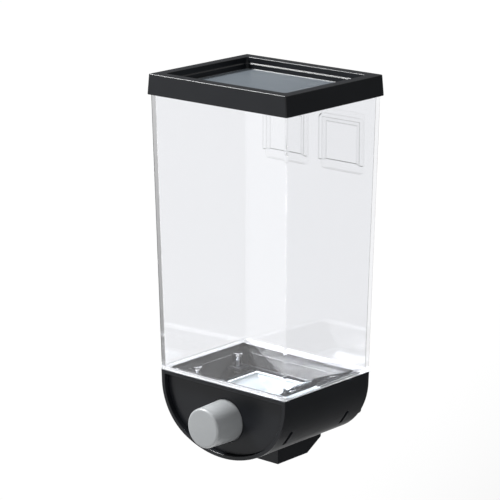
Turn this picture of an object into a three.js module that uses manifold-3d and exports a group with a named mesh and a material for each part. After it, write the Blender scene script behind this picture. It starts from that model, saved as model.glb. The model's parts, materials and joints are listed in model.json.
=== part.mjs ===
// Wall-hung cereal dispenser: a clear tank with a lift-off lid, a black base with a press button,
// and a pair of adhesive hook plates that hold it on the wall. Press the button and a sliding
// gate lines its window up with the throat, so cereal drops through the chute.
// Millimetres. +X right, +Y towards the wall, +Z up.

import * as THREE from 'three';
import { mergeVertices } from 'three/addons/utils/BufferGeometryUtils.js';
import Module from 'manifold-3d';

const wasm = await Module();
wasm.setup();

// ---------------------------------------------------------------- driving dimensions
// The layout frame has x = 0 and y = 0 at the middle of the tank and z = 0 at the chute's mouth.
const HEIGHT = 255;                 // chute mouth to the top of the lid
const WIDTH = 115;                  // across the lid's skirt
const DEPTH = 95;                   // front to back over the lid's skirt
const GAP = 0.3;                    // between pieces that touch

const WALL_Y = 49.9;                // the wall's plane behind the dispenser
const HOOK_Z = 208;                 // height of the adhesive plates' centres
const HOOK_X = 23;                  // each hook's distance from the middle

const LID = {
  skirtZ: 241.7, topX: 56.4, topY: 47.05, corner: 1, chamfer: 0.6, plate: 2,
  channelX: 55.5, channelY: 45.1, channelCorner: 1.4,   // inside of the skirt
  plugX: 52.6, plugY: 42.2, plugZ: 240.4, plugCorner: 2.2, plugWall: 2.4,
  recessX: 49.4, recessY: 39.1, recessCorner: 2, ledge: 1, ledgeZ: 251, floorZ: 247.5,
  sealLow: 242, sealHigh: 245.9, sealLip: 1, grooveDepth: 1,
};

const TANK = {
  bottomZ: 61.3, topZ: HEIGHT - LID.plate - GAP,
  bottomX: 52.75, bottomY: 42, wall: 2, corner: 1.5, innerCorner: 1.2,
  shoulderX: 56.4, shoulderY: 45.6, shoulderZ: LID.skirtZ - GAP,
  neckX: 55.1, neckY: 44.7, neckWall: 1,   // the thin rim that the lid's skirt goes over
  flangeX: 53.2, flangeY: 42.45, flangeTop: 63.5,
  skirtX: 49.2, skirtY: 35.9, skirtZ: 55.5, skirtWall: 1.5,
  outletX: 21, outletY: 17, outletZ: 54, floorWall: 2, collar: 1.8,
  bossX: 41, bossY: 20, bossRadius: 3.5, bossZ: 50.6,
};

const BASE = {
  topZ: 61, halfWidth: 52.6, front: -42, back: 42, wall: 2.6, backWall: 2.4,
  sideRadius: 40, sideX: 12.3, sideZ: 55.1, bellyRadius: 66, bellyZ: 78,
  slotFront: -30, slotBack: 26, slotWidth: 3.4, slotLow: 27.1, slotHigh: 37.8,
};

const PANEL = { front: -38.5, thickness: 2.2, topZ: 60.7, screwX: 33, screwZ: 42 };
const BUTTON = {
  z: 36.5, front: -60.5, radius: 12.9, rootRadius: 13.8, stroke: 14, wall: 3,
  flange: 15.8, flangeDepth: 1.4,   // its rim stays clear of the tank's floor when pressed
  socket: 5.6, socketEnd: -47,      // the tube inside that grips the gate's stem
};
const GATE = { halfX: 14.2, front: -11.5, back: 24, low: 32.8, high: 36.8, stemRadius: 3.5 };
const THROAT = { halfX: 10, front: 4.5, back: 16.5 };
const SPRING = { radius: 7.5, wire: 0.55, front: -56.6, back: -14.9, turns: 9 };
const CHUTE = { halfX: 12.8, front: -2, lip: 28, back: 39.2, heel: 42, heelZ: 8, wall: 1.6, topZ: 29.7 };
const RAIL = { halfX: 18, low: 194, high: 224.7, front: 45.6, lip: 46.9, back: 47.8, leg: 2.5, lipReach: 5 };
const TONGUE = 0.9;                  // thickness of the hook's tongue, inside the rail's channel
const PLATE = { halfX: 17.5, halfZ: 20, corner: 3, thickness: 0.9 };
const PAD = { inset: 0.5, thickness: 0.6 };
const BUMPER = { x: 37, z: 31.3, radius: 4 };
const CRADLE = {
  webFront: [-31, -29], webBack: [25, 27], webTop: 50.2, sideIn: 18.2, sideOut: 20.2,
  sideLow: 29, sideHigh: 43.5, deckLow: 30, deckHigh: 32.5, guide: [-14, -12],
};
const CHUTE_SCREW = { x: 15.6, y: 4, bore: 1.5 };
const SCREW_BORE = 1.7;              // in the tank's and panel's bosses
const SCREW_CLEARANCE = 1.8;         // through the cradle
const BORE_SIDES = 14;

// ---------------------------------------------------------------- solids
// A closed three.js geometry as a solid that can be joined and cut.
function solid(geometry) {
  const bare = geometry.clone();
  bare.deleteAttribute('normal');
  bare.deleteAttribute('uv');
  const merged = mergeVertices(bare, 1e-4);
  return new wasm.Manifold(new wasm.Mesh({
    numProp: 3,
    vertProperties: merged.attributes.position.array,
    triVerts: new Uint32Array(merged.index.array),
  }));
}

function join(...solids) {
  return solids.reduce((all, next) => all.add(next));
}

function cut(body, ...tools) {
  return tools.reduce((left, tool) => left.subtract(tool), body);
}

function box(x0, x1, y0, y1, z0, z1) {
  const geometry = new THREE.BoxGeometry(x1 - x0, y1 - y0, z1 - z0);
  return solid(geometry.translate((x0 + x1) / 2, (y0 + y1) / 2, (z0 + z1) / 2));
}

// A cylinder along Z, or along Y where its ends are given as [y0, y1].
function postZ(x, y, radius, z0, z1, sides = 20) {
  const geometry = new THREE.CylinderGeometry(radius, radius, z1 - z0, sides);
  return solid(geometry.rotateX(Math.PI / 2).translate(x, y, (z0 + z1) / 2));
}

function postY(x, z, radius, y0, y1, sides = 20) {
  const geometry = new THREE.CylinderGeometry(radius, radius, y1 - y0, sides);
  return solid(geometry.translate(x, (y0 + y1) / 2, z));
}

function roundedRectangle(halfX, halfY, radius) {
  const shape = new THREE.Shape();
  const cornerX = halfX - radius;
  const cornerY = halfY - radius;
  shape.absarc(cornerX, cornerY, radius, 0, Math.PI / 2);
  shape.absarc(-cornerX, cornerY, radius, Math.PI / 2, Math.PI);
  shape.absarc(-cornerX, -cornerY, radius, Math.PI, 1.5 * Math.PI);
  shape.absarc(cornerX, -cornerY, radius, 1.5 * Math.PI, 2 * Math.PI);
  return shape;
}

// An upright block whose rounded section grows from one level's half sizes to another's.
// A level is { z, x, y } with its half sizes, and `at` where its centre is off y = 0.
function tapered(low, high, radius, segments = 5) {
  const shape = roundedRectangle(low.x, low.y, radius);
  const options = { depth: high.z - low.z, bevelEnabled: false, curveSegments: segments };
  const geometry = new THREE.ExtrudeGeometry(shape, options);
  const place = geometry.attributes.position;
  const lowAt = low.at ?? 0;
  const highAt = high.at ?? 0;
  for (let i = 0; i < place.count; i += 1) {
    const x = place.getX(i);
    const y = place.getY(i);
    const isTop = place.getZ(i) > 0;
    const growX = isTop ? Math.sign(x) * (high.x - low.x) : 0;
    const growY = isTop ? Math.sign(y) * (high.y - low.y) + highAt : lowAt;
    place.setXYZ(i, x + growX, y + growY, isTop ? high.z : low.z);
  }
  return solid(geometry);
}

function block(halfX, halfY, radius, z0, z1, segments = 5) {
  return tapered({ z: z0, x: halfX, y: halfY }, { z: z1, x: halfX, y: halfY }, radius, segments);
}

// A front-view shape, drawn in x and z, as a slab from y0 to y1.
function slabY(shape, y0, y1, segments = 8) {
  const options = { depth: y1 - y0, bevelEnabled: false, curveSegments: segments };
  const geometry = new THREE.ExtrudeGeometry(shape, options);
  return solid(geometry.rotateX(Math.PI / 2).translate(0, y1, 0));
}

// A side-view shape, drawn in y and z, as a slab across x.
function slabX(points, halfX) {
  const shape = new THREE.Shape(points.map(([y, z]) => new THREE.Vector2(y, z)));
  const geometry = new THREE.ExtrudeGeometry(shape, { depth: 2 * halfX, bevelEnabled: false });
  const turn = new THREE.Matrix4().makeBasis(
    new THREE.Vector3(0, 1, 0),
    new THREE.Vector3(0, 0, 1),
    new THREE.Vector3(1, 0, 0),
  );
  return solid(geometry.applyMatrix4(turn).translate(-halfX, 0, 0));
}

// The base's belly outline, moved inwards by `inset`: two side arcs that run into one belly arc.
function bellyOutline(inset, topZ) {
  const side = BASE.sideRadius - inset;
  const belly = BASE.bellyRadius - inset;
  const meet = Math.atan2(BASE.sideX, BASE.bellyZ - BASE.sideZ);
  const shape = new THREE.Shape();
  const topX = BASE.halfWidth - inset;
  shape.moveTo(topX, topZ);
  shape.lineTo(-topX, topZ);
  shape.absarc(-BASE.sideX, BASE.sideZ, side, Math.PI, 1.5 * Math.PI - meet);
  shape.absarc(0, BASE.bellyZ, belly, 1.5 * Math.PI - meet, 1.5 * Math.PI + meet);
  shape.absarc(BASE.sideX, BASE.sideZ, side, 1.5 * Math.PI + meet, 2 * Math.PI);
  return shape;
}

function bellySlab(inset, topZ, y0, y1) {
  const whole = slabY(bellyOutline(inset, Math.max(topZ, BASE.topZ)), y0, y1, 10);
  if (topZ >= BASE.topZ) return whole;
  return whole.subtract(box(-60, 60, y0 - 1, y1 + 1, topZ, BASE.topZ + 1));
}

// A solid of revolution about Z, drawn as [radius, z] points from the axis round to the axis.
function turned(profile, sides = 32) {
  const points = profile.map(([radius, z]) => new THREE.Vector2(radius, z));
  return solid(new THREE.LatheGeometry(points, sides).rotateX(Math.PI / 2));
}

// The same, lying along Y at the button's height.
function turnedAlongY(profile, sides = 36) {
  return turned(profile, sides).rotate([-90, 0, 0]).translate([0, 0, BUTTON.z]);
}

// ---------------------------------------------------------------- lid
function lidShell() {
  const shoulder = HEIGHT - LID.chamfer;
  const skirt = tapered(
    { z: LID.skirtZ, x: WIDTH / 2, y: DEPTH / 2 },
    { z: shoulder, x: LID.topX, y: LID.topY },
    LID.corner,
  );
  const edge = tapered(
    { z: shoulder, x: LID.topX, y: LID.topY },
    { z: HEIGHT, x: LID.topX - LID.chamfer, y: LID.topY - LID.chamfer },
    LID.corner,
  );
  const channel = cut(
    block(LID.channelX, LID.channelY, LID.channelCorner, LID.skirtZ - 1, HEIGHT - LID.plate),
    block(LID.plugX, LID.plugY, LID.plugCorner, LID.skirtZ - 2, HEIGHT),
  );
  const plug = block(LID.plugX, LID.plugY, LID.plugCorner, LID.plugZ, LID.floorZ);
  const inner = block(
    LID.plugX - LID.plugWall, LID.plugY - LID.plugWall, 1.5, LID.plugZ - 1, LID.floorZ - LID.plate,
  );
  const recess = block(LID.recessX, LID.recessY, LID.recessCorner, LID.ledgeZ, HEIGHT + 1);
  const well = block(
    LID.recessX - LID.ledge, LID.recessY - LID.ledge, LID.recessCorner, LID.floorZ, LID.ledgeZ + 1,
  );
  const groove = cut(
    block(LID.plugX + 1, LID.plugY + 1, LID.plugCorner, LID.sealLow - GAP, LID.sealHigh + GAP),
    sealSeat(0, LID.sealLow - 1, LID.sealHigh + 1),
  );
  return cut(join(skirt, edge, plug), channel, inner, recess, well, groove);
}

// The block that the seal's groove leaves in the plug, or the seal's own opening round it.
function sealSeat(clearance, z0, z1) {
  const inset = LID.grooveDepth - clearance;
  return block(LID.plugX - inset, LID.plugY - inset, LID.plugCorner - LID.grooveDepth, z0, z1);
}

function lidSeal() {
  return cut(
    block(LID.plugX + LID.sealLip, LID.plugY + LID.sealLip, LID.plugCorner, LID.sealLow, LID.sealHigh),
    sealSeat(GAP, LID.sealLow - 1, LID.sealHigh + 1),
  );
}

// ---------------------------------------------------------------- tank
function forBosses(make) {
  return [[-1, -1], [1, -1], [-1, 1], [1, 1]].map(([sx, sy]) => make(sx * TANK.bossX, sy * TANK.bossY));
}

function tank() {
  const innerX = TANK.bottomX - TANK.wall;
  const innerY = TANK.bottomY - TANK.wall;
  const outside = tapered(
    { z: TANK.bottomZ, x: TANK.bottomX, y: TANK.bottomY },
    { z: TANK.shoulderZ, x: TANK.shoulderX, y: TANK.shoulderY },
    TANK.corner, 6,
  );
  const neck = block(TANK.neckX, TANK.neckY, TANK.corner, TANK.shoulderZ - 1, TANK.topZ, 6);
  const flange = block(TANK.flangeX, TANK.flangeY, TANK.corner, TANK.bottomZ, TANK.flangeTop, 6);
  const inside = tapered(
    { z: TANK.flangeTop, x: innerX, y: innerY },
    { z: TANK.topZ + 1, x: TANK.neckX - TANK.neckWall, y: TANK.neckY - TANK.neckWall },
    TANK.innerCorner, 6,
  );
  // The floor falls from the walls to the outlet, and its underside runs parallel below it.
  const fallX = (TANK.flangeTop - TANK.outletZ) / (innerX - TANK.outletX);
  const slabLow = TANK.outletZ - TANK.floorWall;
  const slabHigh = slabLow + 8;
  const slabX0 = TANK.outletX + TANK.collar;
  const slabY0 = TANK.outletY + TANK.collar;
  const fallY = (TANK.flangeTop - TANK.outletZ) / (innerY - TANK.outletY);
  const underside = join(
    tapered(
      { z: slabLow, x: slabX0, y: slabY0 },
      { z: slabHigh, x: slabX0 + 8 / fallX, y: slabY0 + 8 / fallY },
      1.5,
    ),
    block(slabX0 + 8 / fallX, slabY0 + 8 / fallY, 1.5, slabHigh, TANK.bottomZ + 0.5),
  );
  const slab = underside.intersect(block(TANK.skirtX, TANK.skirtY, 2, slabLow - 1, TANK.bottomZ + 1));
  const skirt = cut(
    block(TANK.skirtX, TANK.skirtY, 2, TANK.skirtZ, TANK.bottomZ + 0.5),
    block(TANK.skirtX - TANK.skirtWall, TANK.skirtY - TANK.skirtWall, 1, TANK.skirtZ - 1, TANK.bottomZ + 1),
  );
  const bosses = forBosses((x, y) => postZ(x, y, TANK.bossRadius, TANK.bossZ, TANK.bossZ + 8));
  const holes = forBosses((x, y) => postZ(x, y, SCREW_BORE, TANK.bossZ - 1, TANK.bossZ + 5.9, BORE_SIDES));
  const floor = tapered(
    { z: TANK.outletZ, x: TANK.outletX, y: TANK.outletY },
    { z: TANK.flangeTop, x: innerX, y: innerY },
    1.5,
  );
  const outlet = block(TANK.outletX, TANK.outletY, 1.5, slabLow - 1, TANK.outletZ + 0.1);
  return cut(join(outside, neck, flange, slab, skirt, ...bosses), inside, floor, outlet, ...holes);
}

// An open-bottomed frame on the tank's back. Its lips overhang a channel for the hook's tongue.
function hookRail() {
  const frame = new THREE.Shape();
  const round = 4;
  const top = RAIL.high - round;
  frame.moveTo(-RAIL.halfX, RAIL.low);
  frame.lineTo(RAIL.halfX, RAIL.low);
  frame.absarc(RAIL.halfX - round, top, round, 0, Math.PI / 2);
  frame.absarc(-(RAIL.halfX - round), top, round, Math.PI / 2, Math.PI);
  const channelX = RAIL.halfX - RAIL.leg;
  const slotX = RAIL.halfX - RAIL.lipReach;
  return cut(
    slabY(frame, RAIL.front, RAIL.back, 6),
    box(-channelX, channelX, RAIL.front - 1, RAIL.lip, RAIL.low - 1, RAIL.high - RAIL.leg),
    box(-slotX, slotX, RAIL.front - 1, RAIL.back + 1, RAIL.low - 1, RAIL.high - RAIL.lipReach),
  );
}

function outletSeal() {
  const low = TANK.outletZ - TANK.floorWall - 1.4;
  const high = TANK.outletZ - TANK.floorWall - GAP;
  return cut(
    block(TANK.outletX + 3, TANK.outletY + 3, 2, low, high),
    block(TANK.outletX + 0.2, TANK.outletY + 0.2, 1.5, low - 1, high + 1),
  );
}

// ---------------------------------------------------------------- base
function baseShell() {
  const inside = bellySlab(BASE.wall, BASE.topZ + 5, BASE.front - 1, BASE.back - BASE.backWall);
  const outside = bellySlab(0, BASE.topZ, BASE.front, BASE.back);
  const topRail = box(-51, 51, BASE.front, BASE.front + BASE.wall, BASE.topZ - BASE.wall, BASE.topZ);
  const halfSlot = BASE.slotWidth / 2;
  const slotOutline = roundedRectangle((BASE.slotHigh - BASE.slotLow) / 2, halfSlot, halfSlot - 0.05);
  const slotTool = new THREE.ExtrudeGeometry(slotOutline, {
    depth: 2 * BASE.halfWidth + 20, bevelEnabled: false, curveSegments: 4,
  });
  slotTool.rotateY(Math.PI / 2).translate(-BASE.halfWidth - 10, 0, (BASE.slotLow + BASE.slotHigh) / 2);
  const belly = box(-38, 38, BASE.front, BASE.back, 0, BASE.topZ);
  const slots = [BASE.slotFront, BASE.slotBack].map(
    (y) => cut(solid(slotTool).translate([0, y, 0]), belly),
  );
  const chuteX = CHUTE.halfX + 0.4;
  const chuteHole = box(-chuteX, chuteX, CHUTE.front - 0.4, BASE.back - BASE.backWall, 0, 25);
  const bumperHoles = [-1, 1].map((side) => postY(side * BUMPER.x, BUMPER.z, 2.1, 30, 50, 16));
  return cut(
    join(cut(outside, inside), topRail),
    ...slots, chuteHole, ...bumperHoles,
  );
}

// A post at each of the panel's two screws.
function panelPosts(radius, y0, y1, sides) {
  return [-1, 1].map((side) => postY(side * PANEL.screwX, PANEL.screwZ, radius, y0, y1, sides));
}

function frontPanel() {
  const back = PANEL.front + PANEL.thickness;
  const plate = bellySlab(BASE.wall + GAP, PANEL.topZ, PANEL.front, back);
  const bosses = panelPosts(3.2, back - 1, back + 5);
  const holes = panelPosts(SCREW_BORE, back - 1, back + 6, BORE_SIDES);
  const opening = postY(0, BUTTON.z, BUTTON.rootRadius + 0.5, PANEL.front - 1, back + 1, 36);
  return cut(join(plate, ...bosses), ...holes, opening);
}

function wallBumper() {
  const plugEnd = BASE.back - BASE.backWall - 2;
  const shoulder = BASE.back - BASE.backWall - 0.4;
  return turnedAlongY([
    [0, plugEnd], [1.9, plugEnd], [2.6, shoulder], [1.7, shoulder],
    [1.7, BASE.back + GAP], [BUMPER.radius, BASE.back + GAP], [BUMPER.radius - 0.3, WALL_Y - 0.6],
    [BUMPER.radius - 1, WALL_Y], [0, WALL_Y],
  ], 16).translate([0, 0, BUMPER.z - BUTTON.z]);
}

// ---------------------------------------------------------------- button and gate
function buttonCap() {
  const front = BUTTON.front;
  const rear = PANEL.front + PANEL.thickness + 0.5;
  const end = rear + BUTTON.flangeDepth;
  const inside = front + BUTTON.wall;
  const bore = GATE.stemRadius + 0.35;
  return turnedAlongY([
    [0, front], [11.4, front], [12.5, front + 0.45], [BUTTON.radius, front + 1.5],
    [BUTTON.rootRadius, PANEL.front], [BUTTON.rootRadius, rear],
    [BUTTON.flange, rear], [BUTTON.flange, end],
    [12.7, end], [11.2, inside], [BUTTON.socket, inside], [BUTTON.socket, BUTTON.socketEnd],
    [bore, BUTTON.socketEnd], [bore, inside - 0.4], [0, inside - 0.4],
  ]);
}

function gateSlider() {
  const neck = -17;
  const window = box(
    -THROAT.halfX - 0.2, THROAT.halfX + 0.2,
    THROAT.front - BUTTON.stroke, THROAT.back - BUTTON.stroke,
    GATE.low - 1, GATE.high + 1,
  );
  const plate = cut(box(-GATE.halfX, GATE.halfX, GATE.front, GATE.back, GATE.low, GATE.high), window);
  const tongue = box(-3.4, 3.4, neck - 1, GATE.front + 0.5, GATE.low + 0.25, GATE.high);
  const stem = postY(0, BUTTON.z, GATE.stemRadius, BUTTON.front + BUTTON.wall, neck, 24);
  return join(plate, tongue, stem);
}

class Helix extends THREE.Curve {
  getPoint(t, target = new THREE.Vector3()) {
    const angle = 2 * Math.PI * SPRING.turns * t;
    return target.set(
      SPRING.radius * Math.cos(angle),
      SPRING.front + (SPRING.back - SPRING.front) * t,
      BUTTON.z + SPRING.radius * Math.sin(angle),
    );
  }
}

function returnSpring() {
  const wire = new THREE.Shape();
  wire.absarc(0, 0, SPRING.wire, 0, 2 * Math.PI);
  return solid(new THREE.ExtrudeGeometry(wire, {
    extrudePath: new Helix(), steps: SPRING.turns * 12, bevelEnabled: false, curveSegments: 3,
  }));
}

// The white funnel under the tank's outlet narrows to the throat over the gate.
function dosingFunnel() {
  const top = TANK.outletZ - TANK.floorWall - 1.7;
  const low = GATE.high + GAP;
  const middle = (THROAT.front + THROAT.back) / 2;
  const half = (THROAT.back - THROAT.front) / 2;
  const outside = tapered(
    { z: low, x: THROAT.halfX + 1.8, y: half + 1.6, at: middle },
    { z: top, x: TANK.outletX + 1.8, y: TANK.outletY + 1.8 },
    1,
  );
  const rim = block(TANK.outletX + 3, TANK.outletY + 3, 2, top - 1.5, top);
  const foot = box(-17.8, 17.8, THROAT.front - 1.6, GATE.back + 0.5, low, low + 1.8);
  const inside = tapered(
    { z: low + 1.9, x: THROAT.halfX, y: half, at: middle },
    { z: top + 0.3, x: TANK.outletX, y: TANK.outletY },
    1,
  );
  const throat = box(-THROAT.halfX, THROAT.halfX, THROAT.front, THROAT.back, low - 1, low + 1.95);
  return cut(join(outside, rim, foot), inside, throat);
}

// ---------------------------------------------------------------- cradle and chute
function mirrored(x0, x1, y0, y1, z0, z1) {
  return join(box(x0, x1, y0, y1, z0, z1), box(-x1, -x0, y0, y1, z0, z1));
}

// The holes for the two screws that hold the chute to the cradle.
function chutePosts(z0, z1) {
  const { x, y, bore } = CHUTE_SCREW;
  return [-1, 1].map((side) => postZ(side * x, y, bore, z0, z1, BORE_SIDES));
}

function mechanismCradle() {
  const [frontA, frontB] = CRADLE.webFront;
  const [backA, backB] = CRADLE.webBack;
  const web = (y0, y1) => bellySlab(BASE.wall + 0.4, CRADLE.webTop, y0, y1);
  const tab = (y) => bellySlab(1.2, BASE.topZ, y - 0.6, y + 0.6).intersect(
    mirrored(40, 60, y - 2, y + 2, BASE.slotLow + 0.5, BASE.slotHigh - 0.5),
  );
  const webs = join(web(frontA, frontB), web(backA, backB), tab(BASE.slotFront), tab(BASE.slotBack));
  const sides = mirrored(CRADLE.sideIn, CRADLE.sideOut, frontA, backB, CRADLE.sideLow, CRADLE.sideHigh);
  const deck = box(-CRADLE.sideOut, CRADLE.sideOut, CRADLE.guide[0], backB, CRADLE.deckLow, CRADLE.deckHigh);
  const guide = box(
    -CRADLE.sideOut, CRADLE.sideOut, CRADLE.guide[0], CRADLE.guide[1], CRADLE.deckLow, CRADLE.sideHigh,
  );
  const runners = mirrored(
    GATE.halfX + 0.4, CRADLE.sideOut, CRADLE.guide[1], backB, CRADLE.deckLow, GATE.high,
  );
  const ears = join(
    mirrored(34, 46, frontA, -15, CRADLE.webTop - 2, CRADLE.webTop),
    mirrored(34, 46, 15, backB, CRADLE.webTop - 2, CRADLE.webTop),
  );
  const buttonHole = postY(0, BUTTON.z, BUTTON.flange + 0.9, frontA - 1, frontB + 1, 30);
  const chuteGap = box(-17.6, 17.6, backA - 1, backB + 1, 0, CRADLE.deckLow);
  const gateGap = box(-GATE.halfX - 2.7, GATE.halfX + 2.7, backA - 1, backB + 1, CRADLE.deckHigh, 39.4);
  const drop = box(-THROAT.halfX - 0.6, THROAT.halfX + 0.6, THROAT.front - 0.5, THROAT.back + 0.5, 25, 34);
  const stemHole = join(
    postY(0, BUTTON.z, GATE.stemRadius + 0.4, -20, -10, 24),
    box(-3.8, 3.8, -20, -10, CRADLE.deckHigh, GATE.high + GAP),
  );
  const earHoles = forBosses(
    (x, y) => postZ(x, y, SCREW_CLEARANCE, CRADLE.webTop - 5, CRADLE.webTop + 1, BORE_SIDES),
  );
  const panelHoles = panelPosts(SCREW_CLEARANCE, frontA - 1, frontB + 1, BORE_SIDES);
  const chuteHoles = chutePosts(CRADLE.deckLow - 1, CRADLE.deckHigh + 1);
  const frame = cut(join(webs, sides, deck, guide, ears), buttonHole, chuteGap, gateGap, drop, stemHole);
  return cut(join(frame, runners), ...earHoles, ...panelHoles, ...chuteHoles);
}

function chute() {
  const slope = (CHUTE.heel - CHUTE.lip) / CHUTE.heelZ;
  const thick = CHUTE.wall * Math.hypot(1, slope);
  const innerFront = CHUTE.front + CHUTE.wall;
  const innerBack = CHUTE.back - CHUTE.wall;
  const innerLip = CHUTE.lip - thick;
  const outside = slabX([
    [CHUTE.front, 0], [CHUTE.lip, 0], [CHUTE.heel, CHUTE.heelZ], [CHUTE.heel, 11.6],
    [CHUTE.back, 11.6], [CHUTE.back, CHUTE.topZ], [CHUTE.front, CHUTE.topZ],
  ], CHUTE.halfX);
  const inside = slabX([
    [innerFront, -1], [innerLip - slope, -1], [innerBack, (innerBack - innerLip) / slope],
    [innerBack, CHUTE.topZ + 1], [innerFront, CHUTE.topZ + 1],
  ], CHUTE.halfX - CHUTE.wall);
  const flange = box(-17.8, 17.8, -6, 24.4, CHUTE.topZ - 1.5, CHUTE.topZ);
  const holes = chutePosts(CHUTE.topZ - 3, CHUTE.topZ + 1);
  return cut(join(outside, flange), inside, ...holes);
}

// ---------------------------------------------------------------- fasteners and wall plates
// A pan-head screw standing on its head, with a cross recess in the head.
function screw(headRadius, headHeight, shankRadius, length) {
  const body = turned([
    [0, 0], [headRadius - 0.6, 0], [headRadius, 0.6], [headRadius, headHeight],
    [shankRadius, headHeight], [shankRadius, headHeight + length - 1.2], [0, headHeight + length],
  ], 12);
  const reach = headRadius * 0.55;
  const cross = join(box(-reach, reach, -0.3, 0.3, -1, 0.9), box(-0.3, 0.3, -reach, reach, -1, 0.9));
  return cut(body, cross);
}

function hookPlate() {
  const plate = roundedRectangle(PLATE.halfX, PLATE.halfZ, PLATE.corner);
  const plateBack = WALL_Y - PAD.thickness - GAP;
  const tongueLow = RAIL.low + 1;
  const neckX = RAIL.halfX - RAIL.lipReach - 0.4;
  const headX = RAIL.halfX - RAIL.leg - 0.4;
  return join(
    slabY(plate, plateBack - PLATE.thickness, plateBack, 6).translate([0, 0, HOOK_Z]),
    box(
      -neckX, neckX, RAIL.lip - 0.5, plateBack - PLATE.thickness / 2,
      tongueLow, RAIL.high - RAIL.lipReach - 0.4,
    ),
    box(-headX, headX, RAIL.lip - GAP - TONGUE, RAIL.lip - GAP, tongueLow, RAIL.high - RAIL.leg - GAP),
  );
}

function adhesivePad() {
  const outline = roundedRectangle(
    PLATE.halfX - PAD.inset, PLATE.halfZ - PAD.inset, PLATE.corner - PAD.inset,
  );
  return slabY(outline, WALL_Y - PAD.thickness, WALL_Y, 6).translate([0, 0, HOOK_Z]);
}

// ---------------------------------------------------------------- materials
function material(color, roughness, metalness = 0, opacity = 1) {
  const transparent = opacity < 1;
  return new THREE.MeshStandardMaterial({ color, roughness, metalness, opacity, transparent });
}

const CLEAR = material(0xe6ecf0, 0.05, 0, 0.3);
const BLACK = material(0x1c1e21, 0.35);
const GREY = material(0x9ea2a5, 0.45);
const WHITE = material(0xeef0f0, 0.4);
const SILICONE = material(0xdfe4e6, 0.6);
const RUBBER = material(0x17181a, 0.8);
const STEEL = material(0xb4b8bc, 0.3, 1);
const ADHESIVE = material(0xd8dcde, 0.5, 0, 0.6);

// ---------------------------------------------------------------- assembly
const dispenser = new THREE.Group();
// The part's origin is on the wall, midway between the two adhesive plates.
dispenser.position.set(0, -WALL_Y, -HOOK_Z);

function place(name, body, look, x = 0, y = 0, z = 0) {
  const { vertProperties, triVerts } = body.getMesh();
  const geometry = new THREE.BufferGeometry();
  geometry.setAttribute('position', new THREE.BufferAttribute(vertProperties, 3));
  geometry.setIndex(new THREE.BufferAttribute(triVerts, 1));
  geometry.computeVertexNormals();
  const mesh = new THREE.Mesh(geometry, look);
  mesh.name = name;
  mesh.position.set(x, y, z);
  dispenser.add(mesh);
}

place('lid_shell', lidShell(), BLACK);
place('lid_seal', lidSeal(), SILICONE);
place('tank', tank(), CLEAR);
place('outlet_seal', outletSeal(), SILICONE);
place('base_shell', baseShell(), BLACK);
place('front_panel', frontPanel(), BLACK);
place('button_cap', buttonCap(), GREY);
place('gate_slider', gateSlider(), WHITE);
place('return_spring', returnSpring(), STEEL);
place('dosing_funnel', dosingFunnel(), WHITE);
place('mechanism_cradle', mechanismCradle(), BLACK);
place('chute', chute(), BLACK);

for (const [side, word] of [[-1, 'left'], [1, 'right']]) {
  place(`hook_rail_${word}`, hookRail(), CLEAR, side * HOOK_X);
  place(`hook_plate_${word}`, hookPlate(), CLEAR, side * HOOK_X);
  place(`adhesive_pad_${word}`, adhesivePad(), ADHESIVE, side * HOOK_X);
  place(`wall_bumper_${word}`, wallBumper(), RUBBER, side * BUMPER.x);
  const headZ = CHUTE.topZ - 1.5 - GAP - 1.5;
  const chuteScrew = screw(2.4, 1.5, 1.1, 4.4);
  place(`chute_screw_${word}`, chuteScrew, STEEL, side * CHUTE_SCREW.x, CHUTE_SCREW.y, headZ);
  const panelScrew = screw(2.8, 1.8, 1.35, 6.8).rotate([90, 0, 0]);
  const headY = CRADLE.webFront[1] + GAP + 1.8;
  place(`panel_screw_${word}`, panelScrew, STEEL, side * PANEL.screwX, headY, PANEL.screwZ);
}

const corners = ['front_left', 'front_right', 'back_left', 'back_right'];
forBosses((x, y) => [x, y]).forEach(([x, y], i) => {
  const headZ = CRADLE.webTop - 2 - GAP - 1.8;
  place(`tank_screw_${corners[i]}`, screw(2.8, 1.8, 1.35, 7.8), STEEL, x, y, headZ);
});

export default dispenser;
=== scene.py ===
# %% [markdown]
# # A wall-hung cereal dispenser
# A clear tank hangs on two adhesive plates, under a black lift-off lid. The black base below it
# holds a press button, a sliding gate, a white funnel and a chute.
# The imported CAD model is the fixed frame. Each piece below stands for one CAD node: it has the
# same place and size, with the rounded edges and finish of the real moulding.

# %% Load the frame
import json
import math

import bmesh
import bpy
from mathutils import Matrix, Vector

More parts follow.
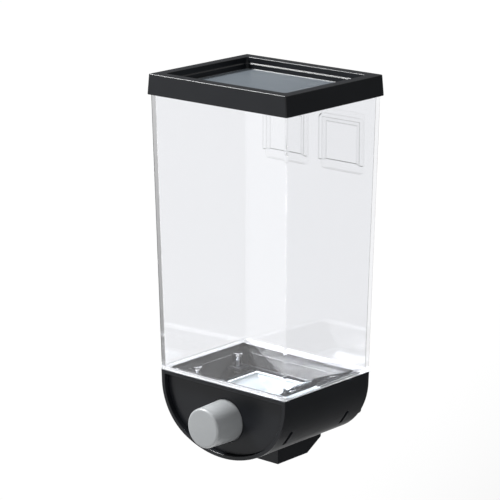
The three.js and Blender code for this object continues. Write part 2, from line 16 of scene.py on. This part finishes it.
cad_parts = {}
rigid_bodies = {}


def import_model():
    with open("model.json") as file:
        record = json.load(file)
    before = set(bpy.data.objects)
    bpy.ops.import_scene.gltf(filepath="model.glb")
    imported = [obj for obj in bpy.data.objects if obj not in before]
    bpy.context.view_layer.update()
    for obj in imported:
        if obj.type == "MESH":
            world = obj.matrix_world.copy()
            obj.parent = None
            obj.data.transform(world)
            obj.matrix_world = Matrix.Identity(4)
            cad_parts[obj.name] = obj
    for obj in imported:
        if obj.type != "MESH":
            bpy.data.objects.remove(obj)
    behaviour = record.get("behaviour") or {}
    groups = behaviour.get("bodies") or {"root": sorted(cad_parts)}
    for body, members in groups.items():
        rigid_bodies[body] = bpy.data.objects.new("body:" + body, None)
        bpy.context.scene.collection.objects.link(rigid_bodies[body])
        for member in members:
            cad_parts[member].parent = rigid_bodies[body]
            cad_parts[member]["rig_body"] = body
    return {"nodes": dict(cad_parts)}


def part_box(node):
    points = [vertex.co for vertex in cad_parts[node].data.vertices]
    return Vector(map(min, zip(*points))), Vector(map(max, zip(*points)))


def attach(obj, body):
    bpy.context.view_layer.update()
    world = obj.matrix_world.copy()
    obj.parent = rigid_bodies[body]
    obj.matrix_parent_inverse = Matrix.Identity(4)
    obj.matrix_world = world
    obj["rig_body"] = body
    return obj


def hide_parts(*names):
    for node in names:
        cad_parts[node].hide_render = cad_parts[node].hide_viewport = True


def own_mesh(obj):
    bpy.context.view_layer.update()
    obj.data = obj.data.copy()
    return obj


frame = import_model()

scene = bpy.context.scene
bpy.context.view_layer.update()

# %% [markdown]
# ## One working frame in millimetres
# Small mouldings are easier to think about in millimetres, with zero in the middle of the tank
# and at the chute's mouth. Both come from the CAD boxes, and `to_row` carries a finished shape
# back to the frame that the CAD uses.

# %% Working frame
tank_low, tank_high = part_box("tank")
mouth_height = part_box("chute")[0].z
middle = Vector((0, (tank_low.y + tank_high.y) / 2, mouth_height))
to_row = Matrix.Translation(middle) @ Matrix.Scale(0.001, 4)


def size_of(node):
    """A CAD node's lowest and highest corners in the working frame."""
    return [1000 * (corner - middle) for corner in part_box(node)]


lid_low, lid_high = size_of("lid_shell")
tank_rim = size_of("tank")[1]
print("lid from", round(lid_low.z, 1), "to", round(lid_high.z, 1), "mm above the chute's mouth")

# %% [markdown]
# ## Finishes: what they share
# Every finish starts from the Principled shader. A noise on the object's own coordinates then
# makes it a little uneven, and the first thing it varies is the gloss.

# %% Shader helpers
def new_finish(name):
    """A material with its node tree, its Principled shader and its object coordinates."""
    material = bpy.data.materials.new(name)
    material.use_nodes = True
    nodes, links = material.node_tree.nodes, material.node_tree.links
    place = nodes.new("ShaderNodeTexCoord").outputs["Object"]
    return material, nodes, links, nodes["Principled BSDF"], place


def noise_on(nodes, links, place, scale, detail):
    """The strength of a noise over the surface, from 0 to 1."""
    noise = nodes.new("ShaderNodeTexNoise")
    noise.inputs["Scale"].default_value = scale
    noise.inputs["Detail"].default_value = detail
    links.new(place, noise.inputs["Vector"])
    return noise.outputs["Fac"]


def vary_gloss(nodes, links, shader, strength, smoothest, roughest):
    """Lets a noise set the roughness between two values."""
    gloss = nodes.new("ShaderNodeMapRange")
    gloss.inputs["To Min"].default_value = smoothest
    gloss.inputs["To Max"].default_value = roughest
    links.new(strength, gloss.inputs["Value"])
    links.new(gloss.outputs["Result"], shader.inputs["Roughness"])


def bump_by(nodes, links, shader, height, strength, depth):
    """Lets a noise tilt the surface as ripples of a depth in metres would."""
    bump = nodes.new("ShaderNodeBump")
    bump.inputs["Strength"].default_value = strength
    bump.inputs["Distance"].default_value = depth
    links.new(height, bump.inputs["Height"])
    links.new(bump.outputs["Normal"], shader.inputs["Normal"])


# %% [markdown]
# ## Finishes: moulded black plastic
# The lid and base are satin black plastic. A real moulding isn't perfectly even: its tool was
# spark-eroded, which leaves a fine grain, and its colour and gloss drift a little over the
# surface. Two noises do this: a coarse one on the colour and roughness, and a fine one as a bump.
# Object coordinates are in metres, so a noise scale of 2500 is a grain of 0.4 mm.

# %% Moulded plastic
DRIFT_SCALE, GRAIN_DEPTH = 45, 0.00005


def moulded(name, dark, light, roughness, gloss_drift, grain_mm, grain_strength, specular=0.5):
    """A plastic whose colour and gloss drift over the surface, with a fine moulded grain."""
    material, nodes, links, shader, place = new_finish(name)
    shader.inputs["Specular IOR Level"].default_value = specular
    drift = noise_on(nodes, links, place, DRIFT_SCALE, 3)
    colour = nodes.new("ShaderNodeMix")
    colour.data_type = "RGBA"
    colour.inputs["A"].default_value = (*dark, 1)
    colour.inputs["B"].default_value = (*light, 1)
    links.new(drift, colour.inputs["Factor"])
    links.new(colour.outputs["Result"], shader.inputs["Base Color"])
    vary_gloss(nodes, links, shader, drift, roughness - gloss_drift, roughness + gloss_drift)
    grain = noise_on(nodes, links, place, 1000 / grain_mm, 2)
    bump_by(nodes, links, shader, grain, grain_strength, GRAIN_DEPTH)
    return material


black_plastic = moulded(
    "black_plastic", (0.0035, 0.004, 0.0052), (0.006, 0.0068, 0.0085), 0.3, 0.04, 0.4, 0.08, 0.22
)
# The tray's floor is a lighter grey than the rest of the lid: partly its etched texture, partly a painted
# light that it catches from above.
tray_grey_with_painted_toplight = moulded("tray_grey_with_painted_toplight", (0.06, 0.07, 0.08), (0.075, 0.086, 0.097), 0.3, 0.04, 0.4, 0.1, 0.4)
grey_plastic = moulded("grey_plastic", (0.175, 0.183, 0.188), (0.2, 0.208, 0.213), 0.34, 0.05, 0.35, 0.2)
white_plastic = moulded("white_plastic", (0.42, 0.46, 0.475), (0.47, 0.505, 0.52), 0.35, 0.05, 0.5, 0.2)
black_rubber = moulded("black_rubber", (0.009, 0.009, 0.01), (0.014, 0.014, 0.015), 0.75, 0.08, 0.3, 0.6, 0.3)
silicone_rubber = moulded("silicone_rubber", (0.62, 0.66, 0.68), (0.7, 0.73, 0.75), 0.55, 0.06, 0.5, 0.3)
print("moulded finishes:", black_plastic.name, grey_plastic.name, white_plastic.name)

# %% [markdown]
# ## Finishes: clear plastics
# The tank is a polished clear plastic. Flow in the mould leaves its panes very slightly wavy, so
# the edges seen through them wander a little.
#
# A real clear plastic bends light by 1.57 or so, and carries light along its walls to their
# ends. With 1.57 the tank's side edges came out black here. The likely cause is that a renderer
# follows a ray for a dozen bounces only. A lower value lets more of it through, though from
# behind a dark line is still left on one edge. A clear coat on top gives back the reflections
# that the lower value loses. The foot and the flange's edge, where a real wall glows, are a
# little milky: a painted glow, in place of the light that the wall carries to its ends.
#
# Lamps can't shine through such a shader by themselves. So the rays that look for a lamp meet a
# plain transparent one in its place, and the funnel under the tank gets its light.

# %% Clear plastic
FLOW_SCALE, FLOW_DEPTH, GLOSS_SPREAD = 30, 0.0005, 0.015


def see_through(name, colour, roughness, wave_strength, bending, passing=1):
    """Clear plastic with a slow waviness, as melt flow leaves it."""
    material, nodes, links, shader, place = new_finish(name)
    shader.inputs["Base Color"].default_value = (*colour, 1)
    shader.inputs["Transmission Weight"].default_value = passing
    shader.inputs["IOR"].default_value = bending
    flow = noise_on(nodes, links, place, FLOW_SCALE, 1)
    vary_gloss(nodes, links, shader, flow, roughness, roughness + GLOSS_SPREAD)
    bump_by(nodes, links, shader, flow, wave_strength, FLOW_DEPTH)
    ray = nodes.new("ShaderNodeLightPath")
    passed = nodes.new("ShaderNodeBsdfTransparent")
    passed.inputs["Color"].default_value = (*colour, 1)
    mixed = nodes.new("ShaderNodeMixShader")
    links.new(ray.outputs["Is Shadow Ray"], mixed.inputs["Fac"])
    links.new(shader.outputs["BSDF"], mixed.inputs[1])
    links.new(passed.outputs["BSDF"], mixed.inputs[2])
    links.new(mixed.outputs["Shader"], nodes["Material Output"].inputs["Surface"])
    return material


clear_plastic = see_through("clear_plastic", (0.94, 0.945, 0.96), 0.0, 0.1, 1.18)
# A milky clear for the foot and the flange's edge: a painted glow where a real wall carries light to its end.
painted_glow_edge = see_through("painted_glow_edge", (0.9, 0.91, 0.925), 0.1, 0.1, 1.25, passing=0.8)
for plastic in (clear_plastic, painted_glow_edge):
    gloss_coat = plastic.node_tree.nodes["Principled BSDF"].inputs
    gloss_coat["Coat Weight"].default_value = 0.8
    gloss_coat["Coat Roughness"].default_value = 0.02
hook_plastic = see_through("hook_plastic", (0.99, 0.99, 0.99), 0.0, 0.1, 1.1)
adhesive_gel = see_through("adhesive_gel", (0.99, 0.99, 0.99), 0.02, 0.2, 1.05)
print("clear finishes:", clear_plastic.name, adhesive_gel.name)

# %% [markdown]
# ## Finishes: bright zinc
# The spring's wire and the screws are plated steel. A fine noise varies their gloss, as brushing
# and handling do.

# %% Bright zinc
bright_steel, steel_nodes, steel_links, steel_shader, steel_place = new_finish("bright_steel")
steel_shader.inputs["Base Color"].default_value = (0.6, 0.61, 0.63, 1)
steel_shader.inputs["Metallic"].default_value = 1
brushing = noise_on(steel_nodes, steel_links, steel_place, 900, 2)
vary_gloss(steel_nodes, steel_links, steel_shader, brushing, 0.2, 0.38)
print("metal finish:", bright_steel.name)

# %% [markdown]
# ## Finishing a piece
# Every edge of a moulding has a small radius, and that radius is what catches the light. A bevel
# on the sharp edges only makes it, and weighted normals keep the flat faces flat beside it.
# Bevel holds every edge back to what the shortest one allows. On a copied CAD mesh, which has
# slivers, the edges beside a very short one are left sharp so that the others get their radius.
# The last helper carries the shape to the row frame and hands it to its CAD body.

# %% Rounding, smoothing and placing
def round_edges(shape, radius, steps=2, sharper_than=30, shortest=0):
    """Rounds the edges that turn by more than an angle, but not those that meet a very short one."""
    limit = math.radians(sharper_than)
    sharp = [e for e in shape.edges if e.is_manifold and e.calc_face_angle() > limit]
    crowded = {v for e in shape.edges if e.calc_length() < shortest for v in e.verts}
    sharp = [e for e in sharp if not crowded.intersection(e.verts)]
    bmesh.ops.bevel(
        shape, geom=sharp, offset=radius, offset_type="OFFSET", segments=steps,
        profile=0.5, affect="EDGES", clamp_overlap=shortest == 0, material=-1,
    )


def make_piece(shape, name, node, material):
    """Turns a shape in the working frame into the piece that stands for a CAD node."""
    bmesh.ops.transform(shape, matrix=to_row, verts=shape.verts)
    mesh = bpy.data.meshes.new(name)
    shape.to_mesh(mesh)
    shape.free()
    mesh.shade_smooth()
    mesh.set_sharp_from_angle(angle=math.radians(40))
    mesh.materials.append(material)
    piece = bpy.data.objects.new(name, mesh)
    scene.collection.objects.link(piece)
    evened = piece.modifiers.new("even_shading", "WEIGHTED_NORMAL")
    evened.keep_sharp = True
    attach(piece, frame["nodes"][node]["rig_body"])
    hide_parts(node)
    print(f"{name}: {len(mesh.polygons)} faces")
    return piece


# %% [markdown]
# ## Walls through rounded rectangles
# The lid, the tank and the funnel are all made of rounded rectangles stacked on one another. So
# one helper draws a rectangle and rounds its corners, and a second one extrudes that ring to the
# next level of a list, and the next, as a potter would pull up a wall.

# %% Rings and walls
def ring(shape, half_x, half_y, radius, z, corner_steps):
    """A loop of edges round a rounded rectangle at height z."""
    corners = bmesh.ops.create_grid(shape, x_segments=1, y_segments=1, size=1)["verts"]
    bmesh.ops.scale(shape, vec=(half_x, half_y, 1), verts=corners)
    bmesh.ops.translate(shape, vec=(0, 0, z), verts=corners)
    before = set(shape.verts) - set(corners)
    bmesh.ops.bevel(
        shape, geom=corners, offset=radius, offset_type="OFFSET", segments=corner_steps,
        profile=0.5, affect="VERTICES", clamp_overlap=False, material=-1,
    )
    loop_verts = [v for v in shape.verts if v not in before]
    sheet = loop_verts[0].link_faces[0]
    edges = list(sheet.edges)
    bmesh.ops.delete(shape, geom=[sheet], context="FACES_ONLY")
    return edges


def pull_wall(shape, levels, corner_steps=8):
    """Walls through levels of (half_x, half_y, corner radius, z). Returns the first and last ring."""
    first = last = ring(shape, *levels[0], corner_steps)
    for (was_x, was_y, was_r, was_z), (x, y, r, z) in zip(levels, levels[1:]):
        made = bmesh.ops.extrude_edge_only(shape, edges=last)["geom"]
        fresh = {v for v in made if isinstance(v, bmesh.types.BMVert)}
        last = [e for e in made if isinstance(e, bmesh.types.BMEdge) and set(e.verts) <= fresh]
        for side_x, side_y in ((-1, -1), (1, -1), (-1, 1), (1, 1)):
            corner = [v for v in fresh if v.co.x * side_x > 0 and v.co.y * side_y > 0]
            centre = Vector((side_x * (was_x - was_r), side_y * (was_y - was_r), 0))
            goal = Vector((side_x * (x - r), side_y * (y - r), z - was_z))
            grow = (r / was_r, r / was_r, 1)
            bmesh.ops.scale(shape, vec=grow, space=Matrix.Translation(-centre), verts=corner)
            bmesh.ops.translate(shape, vec=goal - centre, verts=corner)
    return first, last


# %% [markdown]
# ## Lid
# The lid is one moulding: a skirt that leans in towards the top, a broad flat rim, a sunk tray
# with a narrow ledge round it, and a hollow plug below that drops into the tank. Its section is
# followed from the tray's floor, over the rim and round to the plug's inside, and the two end
# rings are then filled.

# %% Lid shell
SKIRT_Z = 241.7
lid = bmesh.new()
tray_z, ledge_z, rim_z = 247.5, 251, lid_high.z
roof_z, groove_low, groove_high = 253, 241.7, 246.2
tray_end, plug_end = pull_wall(lid, [
    (48.4, 38.1, 2, tray_z), (48.4, 38.1, 2, ledge_z), (49.4, 39.1, 2, ledge_z),
    (49.4, 39.1, 2, rim_z), (56.4, 47.05, 1, rim_z), (lid_high.x, 47.5, 1, SKIRT_Z),
    (55.5, 45.1, 1.4, SKIRT_Z), (55.5, 45.1, 1.4, roof_z),
    (52.6, 42.2, 2.2, roof_z), (52.6, 42.2, 2.2, groove_high),
    (51.6, 41.2, 1.2, groove_high), (51.6, 41.2, 1.2, groove_low), (52.6, 42.2, 2.2, groove_low),
    (52.6, 42.2, 2.2, lid_low.z), (50.2, 39.8, 1.5, lid_low.z), (50.2, 39.8, 1.5, 245.5),
])
bmesh.ops.edgeloop_fill(lid, edges=tray_end)
bmesh.ops.edgeloop_fill(lid, edges=plug_end)
bmesh.ops.recalc_face_normals(lid, faces=lid.faces)
round_edges(lid, 0.5, steps=3)
lid_piece = make_piece(lid, "lid", "lid_shell", black_plastic)
lid_piece.data.materials.append(tray_grey_with_painted_toplight)
# Faces that look up from the tray's floor take the lighter grey, with its painted top light.
for face in lid_piece.data.polygons:
    height = 1000 * (face.center - middle).z
    if face.normal.z > 0.9 and abs(height - tray_z) < 0.1:
        face.material_index = 1
print("tray faces with painted top light:", sum(face.material_index == 1 for face in lid_piece.data.polygons))

# %% [markdown]
# ## Tank
# The tank is one clear shell that widens slightly upwards, so it can leave its mould. Its foot
# is a narrow flange on the base's rim, its floor is a funnel down to a rectangular outlet, and a
# low skirt below locates it in the base. The section is one closed loop, so its last ring is
# bridged to its first.

# %% Tank shell
tank = bmesh.new()
foot_z, flange_z, shoulder_z = 61.3, 63.5, SKIRT_Z - 0.3
locator_x, locator_y, locator_z = 49.2, 35.9, 55.5
outside_foot, outside_rim = pull_wall(tank, [
    (53.2, 42.45, 1.5, foot_z), (53.2, 42.45, 1.5, flange_z), (52.79, 42.04, 1.5, flange_z),
    (56.4, 45.6, 1.5, shoulder_z), (55.1, 44.7, 1.5, shoulder_z), (55.1, 44.7, 1.5, tank_rim.z),
    (54.1, 43.7, 1.2, tank_rim.z), (50.75, 40, 1.2, flange_z), (21, 17, 1.2, 54), (21, 17, 1.2, 52),
    (22.8, 18.8, 1.2, 52), (47.7, 34.4, 1, 59.2), (47.7, 34.4, 1, locator_z),
    (locator_x, locator_y, 1.5, locator_z), (locator_x, locator_y, 1.5, foot_z),
])
bmesh.ops.bridge_loops(tank, edges=outside_foot + outside_rim)
bmesh.ops.recalc_face_normals(tank, faces=tank.faces)
round_edges(tank, 0.18, steps=2, sharper_than=25)

# %% [markdown]
# Four bosses under the floor take the base's screws. Each is a post with a blind hole, joined to
# the shell by a Boolean modifier, so that light meets one solid and not two that overlap.

# %% Tank bosses
BOSS_X, BOSS_Y = 41, 20


def as_object(shape, name):
    """An object that holds a shape, for a modifier to work on."""
    mesh = bpy.data.meshes.new(name)
    shape.to_mesh(mesh)
    shape.free()
    made = bpy.data.objects.new(name, mesh)
    scene.collection.objects.link(made)
    return made


def combine(target, tool, operation):
    """Joins or cuts one shape with another, and returns the result as a new bmesh."""
    step = target.modifiers.new("combine", "BOOLEAN")
    step.object, step.operation, step.solver = tool, operation, "EXACT"
    evaluated = target.evaluated_get(bpy.context.evaluated_depsgraph_get())
    result = bmesh.new()
    result.from_mesh(evaluated.to_mesh())
    bpy.data.objects.remove(target)
    bpy.data.objects.remove(tool)
    return result


def posts(radius, low, high, sides):
    """Four upright posts, one for each screw of the base."""
    shape = bmesh.new()
    for x, y in ((-BOSS_X, -BOSS_Y), (BOSS_X, -BOSS_Y), (-BOSS_X, BOSS_Y), (BOSS_X, BOSS_Y)):
        spot = Matrix.Translation((x, y, (low + high) / 2))
        bmesh.ops.create_cone(
            shape, cap_ends=True, segments=sides, radius1=radius, radius2=radius,
            depth=high - low, matrix=spot,
        )
    return shape


bosses, bores = posts(3.5, 50.6, 60.6, 32), posts(1.7, 49, 56.5, 20)
with_bosses = combine(as_object(tank, "tank_shell"), as_object(bosses, "bosses"), "UNION")
drilled = combine(as_object(with_bosses, "tank_with_bosses"), as_object(bores, "bores"), "DIFFERENCE")
tank_piece = make_piece(drilled, "tank_body", "tank", clear_plastic)
tank_piece.data.materials.append(painted_glow_edge)
# Faces below the flange and outside the locator take the milky painted glow.
for face in tank_piece.data.polygons:
    place = 1000 * (face.center - middle)
    outside_locator = abs(place.x) > locator_x + 0.1 or abs(place.y) > locator_y + 0.1
    if outside_locator and place.z < flange_z - 0.01:
        face.material_index = 1

# %% [markdown]
# ## Press button
# The button is a turned shape: a cap with a softly rounded front edge, a barrel that widens
# towards the panel, and a flange behind the panel that keeps it in. Half of its section is drawn
# as a chain of extruded points and spun round the button's axis.

# %% Button cap
button_low, button_high = size_of("button_cap")
button_z = (button_low.z + button_high.z) / 2
face_y = button_low.y
section = [
    (0, face_y), (11.4, face_y), (12.3, face_y + 0.25), (12.8, face_y + 0.8), (12.95, face_y + 1.6),
    (13.8, -38.5), (13.8, -35.8), (15.8, -35.8), (15.8, -34.4), (12.7, -34.4), (11.2, face_y + 3),
    (5.6, face_y + 3), (5.6, face_y + 13.5), (3.85, face_y + 13.5), (3.85, face_y + 2.6), (0, face_y + 2.6),
]
button = bmesh.new()
point = bmesh.ops.create_vert(button, co=(section[0][0], section[0][1], button_z))["vert"][0]
chain = [point]
for radius, y in section[1:]:
    made = bmesh.ops.extrude_vert_indiv(button, verts=[chain[-1]])["verts"][0]
    bmesh.ops.translate(button, vec=Vector((radius, y, button_z)) - made.co, verts=[made])
    chain.append(made)
bmesh.ops.spin(
    button, geom=button.verts[:] + button.edges[:], cent=(0, 0, button_z), axis=(0, 1, 0),
    angle=2 * math.pi, steps=72, use_merge=True,
)
bmesh.ops.remove_doubles(button, verts=button.verts, dist=0.001)
bmesh.ops.recalc_face_normals(button, faces=button.faces)
round_edges(button, 0.25, steps=2, sharper_than=45)
make_piece(button, "press_button", "button_cap", grey_plastic)

# %% [markdown]
# ## Return spring
# The spring is a helix of round wire between the button and the cradle. A circle of wire is spun
# about the spring's axis while it moves along it, which is how such springs are wound. It gets
# shorter when the button goes in, and here the piece gets a mesh of its own.

# %% Spring
spring_low, spring_high = size_of("return_spring")
wire, turns, steps_per_turn = 0.55, 9, 28
coil_radius = (spring_high.x - spring_low.x) / 2 - wire
travel = (spring_high.y - spring_low.y - 2 * wire) / (turns * steps_per_turn)
spring = bmesh.new()
start = Matrix.Translation((coil_radius, spring_low.y + wire, button_z))
bmesh.ops.create_circle(spring, cap_ends=True, segments=10, radius=wire, matrix=start)
start_cap = spring.faces[:]
bmesh.ops.spin(
    spring, geom=start_cap, cent=(0, 0, button_z), axis=(0, 1, 0), dvec=(0, travel, 0),
    angle=2 * math.pi * turns, steps=turns * steps_per_turn, use_merge=False,
)
bmesh.ops.recalc_face_normals(spring, faces=spring.faces)
spring_piece = make_piece(spring, "spring_wire", "return_spring", bright_steel)
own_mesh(spring_piece)

# %% [markdown]
# ## The other mouldings
# The rest of the pieces already have their final shape in the CAD, but with knife edges. Each is
# copied, its loose triangles are merged into faces, and its edges are rounded by what suits its
# size: more on the base that a hand touches, less on a thin hook plate. Points closer than a
# quarter of a millimetre are joined first, as the cuts of a CAD model leave slivers between them.

# %% Softened copies
SLIVER = 0.25


def soften(name, node, radius, material, steps=2):
    """A copy of a CAD node with merged faces and rounded edges."""
    shape = bmesh.new()
    shape.from_mesh(frame["nodes"][node].data)
    bmesh.ops.transform(shape, matrix=to_row.inverted(), verts=shape.verts)
    bmesh.ops.remove_doubles(shape, verts=shape.verts, dist=SLIVER)
    bmesh.ops.dissolve_limit(
        shape, angle_limit=math.radians(0.8), use_dissolve_boundaries=False,
        verts=shape.verts, edges=shape.edges,
    )
    if radius:
        round_edges(shape, radius, steps, sharper_than=34, shortest=1.5 * radius)
    return make_piece(shape, name, node, material)


soften("base_casing", "base_shell", 0.4, black_plastic, 3)
soften("panel", "front_panel", 0.3, black_plastic)
soften("chute_casing", "chute", 0.4, black_plastic)
soften("cradle", "mechanism_cradle", 0.2, black_plastic)
soften("gate", "gate_slider", 0.25, white_plastic)
soften("funnel", "dosing_funnel", 0.25, white_plastic)
soften("plug_seal", "lid_seal", 0.2, silicone_rubber)
soften("funnel_seal", "outlet_seal", 0.2, silicone_rubber)

# %% Pairs and screws
for side in ("left", "right"):
    soften(f"rail_{side}", f"hook_rail_{side}", 0.2, hook_plastic)
    soften(f"plate_{side}", f"hook_plate_{side}", 0.2, hook_plastic)
    soften(f"pad_{side}", f"adhesive_pad_{side}", 0.1, adhesive_gel)
    soften(f"bumper_{side}", f"wall_bumper_{side}", 0.3, black_rubber)
    soften(f"chute_fixing_{side}", f"chute_screw_{side}", 0.1, bright_steel)
    soften(f"panel_fixing_{side}", f"panel_screw_{side}", 0.12, bright_steel)
for corner in ("front_left", "front_right", "back_left", "back_right"):
    soften(f"tank_fixing_{corner}", f"tank_screw_{corner}", 0.12, bright_steel)

# %% [markdown]
# ## Studio
# The dispenser is a clear thing on white, so the light behind it matters most. The surroundings
# are white nearly all round. Two dim patches, as black flags in a studio make, keep the
# black plastic black: one low at the back right, which the base's side reflects, and one above
# the back, which the lid's rim reflects. A small bright softbox at the upper left draws the line
# on the lid's front edge, and a narrow strip at the front right the lines on upright corners.

# %% Floor
floor_drop = 0.6
floor_shape = bmesh.new()
below = Matrix.Translation((0, middle.y, mouth_height - floor_drop))
bmesh.ops.create_circle(floor_shape, cap_ends=True, segments=96, radius=0.5, matrix=below)
floor = as_object(floor_shape, "floor")
pale = bpy.data.materials.new("pale_floor")
pale.use_nodes = True
pale_shader = pale.node_tree.nodes["Principled BSDF"]
pale_shader.inputs["Base Color"].default_value = (0.93, 0.93, 0.93, 1)
pale_shader.inputs["Roughness"].default_value = 0.8
floor.data.materials.append(pale)
print("floor", round(1000 * floor_drop), "mm below the chute")

# %% Surroundings
azimuth, elevation = math.radians(41.05), math.radians(14.64)
view_right = Vector((math.cos(azimuth), math.sin(azimuth), 0))
view_back = Vector((
    math.sin(azimuth) * math.cos(elevation), -math.cos(azimuth) * math.cos(elevation), math.sin(elevation),
))
view_up = view_back.cross(view_right)
world = bpy.data.worlds.new("surroundings")
world.use_nodes = True
scene.world = world
sky_nodes, sky_links = world.node_tree.nodes, world.node_tree.links
white_level = 1.02
direction = sky_nodes.new("ShaderNodeTexCoord")
levels = []
low_right, above_back = (0.55, 0.42, -0.72), (-0.6, 0.72, 0.38)
for patch, start, end, dim in ((low_right, 0.2, 0.6, 0.2), (above_back, 0.87, 0.96, 0.15)):
    facing = sky_nodes.new("ShaderNodeVectorMath")
    facing.operation = "DOT_PRODUCT"
    facing.inputs[1].default_value = Vector(patch).normalized()
    brightness = sky_nodes.new("ShaderNodeMapRange")
    brightness.interpolation_type = "SMOOTHSTEP"
    brightness.inputs["From Min"].default_value = start
    brightness.inputs["From Max"].default_value = end
    brightness.inputs["To Min"].default_value = white_level
    brightness.inputs["To Max"].default_value = dim
    sky_links.new(direction.outputs["Generated"], facing.inputs[0])
    sky_links.new(facing.outputs["Value"], brightness.inputs["Value"])
    levels.append(brightness.outputs["Result"])
darker = sky_nodes.new("ShaderNodeMath")
darker.operation = "MINIMUM"
sky_links.new(levels[0], darker.inputs[0])
sky_links.new(levels[1], darker.inputs[1])
sky_links.new(darker.outputs["Value"], sky_nodes["Background"].inputs["Strength"])
sky_nodes["Background"].inputs["Color"].default_value = (1, 1, 1, 1)
print("white surroundings with", len(levels), "dim patches")


# %% Softboxes
def softbox(name, offset, aim, width, height, glow):
    """A rectangular light at an offset from the tank's middle. Glow is its brightness beside white."""
    light = bpy.data.lights.new(name, "AREA")
    light.shape = "RECTANGLE"
    light.size, light.size_y = width, height
    light.energy = glow * math.pi * width * height
    lamp = bpy.data.objects.new(name, light)
    scene.collection.objects.link(lamp)
    heart = to_row @ Vector((0, 0, 130))
    lamp.location = heart + Vector(offset)
    lamp.rotation_euler = (Vector(aim) - Vector(offset)).to_track_quat("-Z", "Y").to_euler()


softbox("edge_softbox", (-0.83, -0.4, 1.0), (0, 0, 0.05), 0.3, 0.3, 210)
softbox("corner_strip", (0.95, -0.83, -0.33), (0, 0, 0), 0.04, 0.5, 60)
print("two softboxes")

# %% [markdown]
# ## Camera
# A long lens from the front right, a little above the tank, shows the front with the button, the
# right side, and the tray in the lid.

# %% Camera
camera_data = bpy.data.cameras.new("camera")
camera = bpy.data.objects.new("camera", camera_data)
scene.collection.objects.link(camera)
scene.camera = camera
camera_data.sensor_width = 36
camera_data.lens = 177.7176
camera_data.clip_end = 20
heart = to_row @ Vector((0, 0, 127.5))
distance, leftwards, upwards = 1.5776, 0.00972, 0.01322
camera.location = heart - leftwards * view_right + upwards * view_up + distance * view_back
camera.rotation_euler = Matrix((view_right, view_up, view_back)).transposed().to_euler()
scene.view_settings.view_transform = "Standard"
print("camera", round((camera.location - heart).length, 3), "m from the tank")
